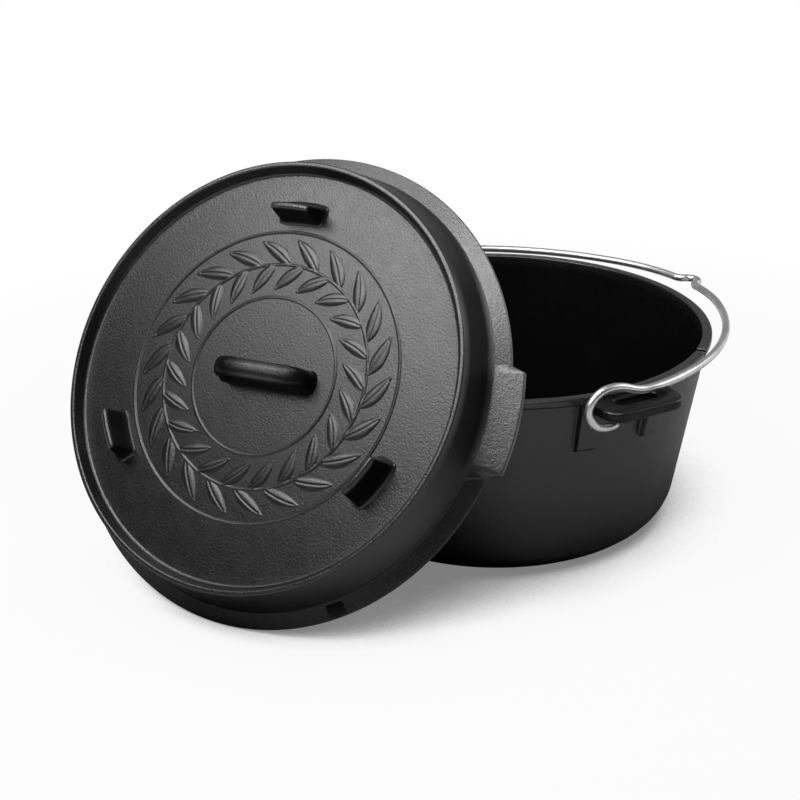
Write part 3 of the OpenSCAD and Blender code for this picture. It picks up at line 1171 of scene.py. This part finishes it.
    def leaf(self, u: Array, v: Array) -> Array:
        """Height of one leaf that starts at the stem and points along its turn.

        It falls off as a half ellipse across the leaf's width, which swells and closes
        along its axis as a sine, with a groove along the middle.

        Args:
            u: Lengths along the stem.
            v: Lengths away from the stem.

        Returns:
            Heights from 0 to 1.
        """
        c, s = turn_z(self.leaf_turn)[:2, 0]
        along, across = (u * c + v * s) / self.leaf_long, (v * c - u * s) / self.leaf_wide
        bulge = np.sin(np.pi * np.clip(along, 0.0, 1.0) ** 0.85) ** 0.8
        width = np.where((along > 0.04) & (along < 1.0), bulge, 0.0)
        share = np.abs(across) / np.maximum(width, 1e-6)
        high = np.sqrt(np.clip(1.0 - share**2, 0.0, None))
        high = high * (0.55 + 0.45 * np.minimum(width, 1.0))
        groove = smooth(np.abs(across) * self.leaf_wide, 0.8, 0.2) * (width > 0.3)
        return np.where(width > 0.0, high - 0.35 * groove, 0.0)

    def wreath(self) -> Surface:
        """A plain leaf wreath between two thin rings, standing a little above the plate.

        The height is the largest of two round ridges, a stem ridge between them and two
        rows of leaves, one on each side of the stem.

        Returns:
            The wreath's skin in the lid's frame.
        """
        r = np.linspace(self.wreath_in, self.wreath_out, self.wreath_rows)[:, None]
        a = full_turn(self.wreath_columns)[None]
        stem = (self.wreath_in + self.wreath_out) / 2
        high = 0.7 * self.ridge(r, stem, 0.9)
        for at in (self.wreath_in + 2.2, self.wreath_out - 2.2):
            high = np.maximum(high, 0.8 * self.ridge(r, at, 1.1))
        step = 2 * np.pi / self.leaves
        for row, start in ((-1.0, step / 2), (1.0, 0.0)):
            for k in (-1.0, 0.0, 1.0):
                turn = (a + start) % step - step / 2 + k * step
                high = np.maximum(high, self.leaf(turn * stem, (r - stem) * row))
        top = polar(r, a, self.plate_h - 0.06 + high * self.wreath_h)
        low = polar(r[[-1, 0]], a, np.array(self.plate_h - 0.9))
        wear = np.pad(smooth(high, 0.75, 1.0) * 0.12, ((0, 2), (0, 0)))
        return skin(np.concatenate([top, low]), True, wear=wear)

    def build(self) -> list[bpy.types.Object]:
        """Builds the lid.

        Returns:
            The casting and the relief on its plate.
        """
        whole = self.shell().joined(self.handle())
        for turn in self.foot_turns:
            whole = whole.joined(self.foot().placed(turn_z(turn), np.zeros(3)))
        return [whole.placed(*self.place()).to_object("lid_casting"),
                self.wreath().placed(*self.place()).to_object("lid_wreath")]

    def dress(self, pieces: list[bpy.types.Object]) -> None:
        """Gives both pieces their iron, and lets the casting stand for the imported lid.

        Args:
            pieces: The casting and the relief.
        """
        iron = self.finish.material()
        attach(pieces[0], iron, Body.LID, "lid")
        attach(pieces[1], iron, Body.LID)


# Studio


@dataclass(frozen=True)
class Lamp:
    """A square soft lamp that looks at a target, in metres and watts."""

    name: str
    place: Triple
    target: Triple
    size: float
    watts: float

    def build(self) -> None:
        """Adds the lamp to the scene."""
        data = bpy.data.lights.new(self.name, "AREA")
        data.size = self.size
        data.energy = self.watts
        obj = bpy.data.objects.new(self.name, data)
        obj.location = self.place
        way = Vector(self.target) - Vector(self.place)
        obj.rotation_mode = "QUATERNION"
        obj.rotation_quaternion = way.to_track_quat("-Z", "Y")
        bpy.context.scene.collection.objects.link(obj)


@dataclass
class Studio:
    """Camera, floor, world and lamps; the floor's lengths are metres."""

    eye: Triple = (893.421, -607.195, 534.783)
    aim: Triple = (-0.792086, 0.469604, -0.389963)
    focal_px: float = 1597.54
    picture_px: float = 800.0
    ambient: float = 0.05
    backdrop: float = 0.24
    floor_half: float = 9.0
    floor_white: float = 0.93
    # Painted contact shade: the floor's matt colour where occlusion is strongest.
    floor_painted_shade: Triple = (0.06, 0.06, 0.06)
    floor_pale: Triple = (0.58, 0.58, 0.58)
    near_reach: float = 0.10
    far_reach: Pair = (0.40, 0.70)
    shade_reach: float = 0.35
    shade_from: Triple = (0.141, -0.312, 0.940)
    shade_low: float = 0.22
    lamps: tuple[Lamp, ...] = (
        Lamp("soft_key", (0.02, -0.69, 0.93), (0.08, -0.1, 0.24), 0.55, 7.6),
        Lamp("soft_front", (0.62, -0.72, 1.06), (0.1, -0.1, 0.12), 0.3, 1.0),
        Lamp("soft_over", (0.29, -0.15, 1.09), (0.09, -0.07, 0.2), 0.35, 3.6),
        Lamp("soft_left", (-0.42, -0.18, 1.25), (0.0, -0.1, 0.2), 0.5, 2.1),
        Lamp("soft_back", (0.45, 1.2, 0.85), (0.05, 0.0, 0.1), 0.8, 6.0),
    )

    def camera(self) -> None:
        """Sets the camera where the photograph was taken from."""
        data = bpy.data.cameras.new("photo_camera")
        data.sensor_width = 36.0
        data.lens = self.focal_px / self.picture_px * data.sensor_width
        data.clip_end = 50.0
        cam = bpy.data.objects.new("photo_camera", data)
        cam.location = Vector(self.eye) * MM
        cam.rotation_mode = "QUATERNION"
        cam.rotation_quaternion = Vector(self.aim).to_track_quat("-Z", "Y")
        bpy.context.scene.collection.objects.link(cam)
        bpy.context.scene.camera = cam

    def floor_material(self) -> bpy.types.Material:
        """A matt floor that the camera sees as white, dimmed where the object shades it.

        The shade is occlusion about a direction that leans to the front left, so that it
        falls as in the photograph. The matt colour darkens close to the object. Farther
        off, by distance from the middle, the camera sees white alone.

        Returns:
            The material.
        """
        n = Nodes.of(bpy.data.materials.new("studio_floor"))
        length = n.add("VectorMath", n.add("TexCoord").outputs["Object"], operation="LENGTH")
        far = n.ranged(length.outputs["Value"], *self.far_reach)
        # Painted contact shade: the matt colour darkens by occlusion close to the object.
        near = n.add("AmbientOcclusion", Distance=self.near_reach, samples=12).outputs["AO"]
        colour = n.blended(n.ranged(near, 0.3, 0.95), self.floor_painted_shade, self.floor_pale)
        way = n.add("CombineXYZ", *self.shade_from).outputs["Vector"]
        shade = n.add("AmbientOcclusion", Distance=self.shade_reach, Normal=way, samples=16)
        dim = n.ranged(shade.outputs["AO"], 0.35, 0.56, self.shade_low, 1.0)
        rays = n.add("LightPath").outputs
        gloss = n.maths("MAXIMUM", rays["Is Glossy Ray"], rays["Is Transmission Ray"])
        part = n.ranged(far, 0.0, 1.0, self.floor_white, 1.0)
        seen = n.maths("MULTIPLY", rays["Is Camera Ray"], part)
        seen = n.maths("MAXIMUM", seen, n.maths("MULTIPLY", gloss, far))
        matt = n.add("BsdfDiffuse", Color=colour)
        white = n.add("Emission", Color=WHITE, Strength=n.maths("MAXIMUM", dim, far))
        return n.close(n.add("MixShader", seen, matt.outputs[0], white.outputs[0]))

    def floor(self) -> None:
        """Lays a white floor that keeps the shadow and turns into the white background."""
        h = self.floor_half
        mesh = bpy.data.meshes.new("studio_floor")
        mesh.from_pydata([(-h, -h, 0), (h, -h, 0), (h, h, 0), (-h, h, 0)], [], [(0, 1, 2, 3)])
        mesh.materials.append(self.floor_material())
        obj = bpy.data.objects.new("studio_floor", mesh)
        bpy.context.scene.collection.objects.link(obj)

    def world(self) -> None:
        """A white background for the camera, and for gloss on the side the camera looks at.

        For gloss the white fades by the part of a ray's direction along the camera's aim,
        so that the object's near side mirrors a dim room and its far side the backdrop.
        """
        n = Nodes.of(bpy.data.worlds.new("studio_world"))
        way = n.add("TexCoord").outputs["Generated"]
        part = n.add("VectorMath", way, self.aim, operation="DOT_PRODUCT")
        fade = n.ranged(part.outputs["Value"], 0.0, 0.6, 0.0, self.backdrop)
        rays = n.add("LightPath").outputs
        seen = n.maths("ADD", rays["Is Camera Ray"], rays["Is Transmission Ray"])
        gloss = n.maths("MULTIPLY", rays["Is Glossy Ray"], fade)
        level = n.maths("ADD", n.maths("MULTIPLY", seen, 1.0 - self.ambient), gloss)
        strength = n.maths("ADD", level, self.ambient)
        bpy.context.scene.world = n.close(n.add("Background", Color=WHITE, Strength=strength))

    def build(self) -> None:
        """Sets up the whole studio."""
        self.camera()
        self.floor()
        self.world()
        for lamp in self.lamps:
            lamp.build()
        bpy.context.scene.view_settings.view_transform = "Standard"


def main() -> None:
    """Builds and dresses the pieces in order, then the studio."""
    logging.basicConfig(level=logging.INFO, format="%(name)s: %(message)s")
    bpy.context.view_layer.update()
    for part in (Pot(), Bail(), Lid()):
        pieces = part.build()
        part.dress(pieces)
        for piece in pieces:
            count = sum(len(p.vertices) - 2 for p in piece.data.polygons)
            LOG.info("%s: %d triangles", piece.name, count)
    Studio().build()


if __name__ == "__main__":
    main()
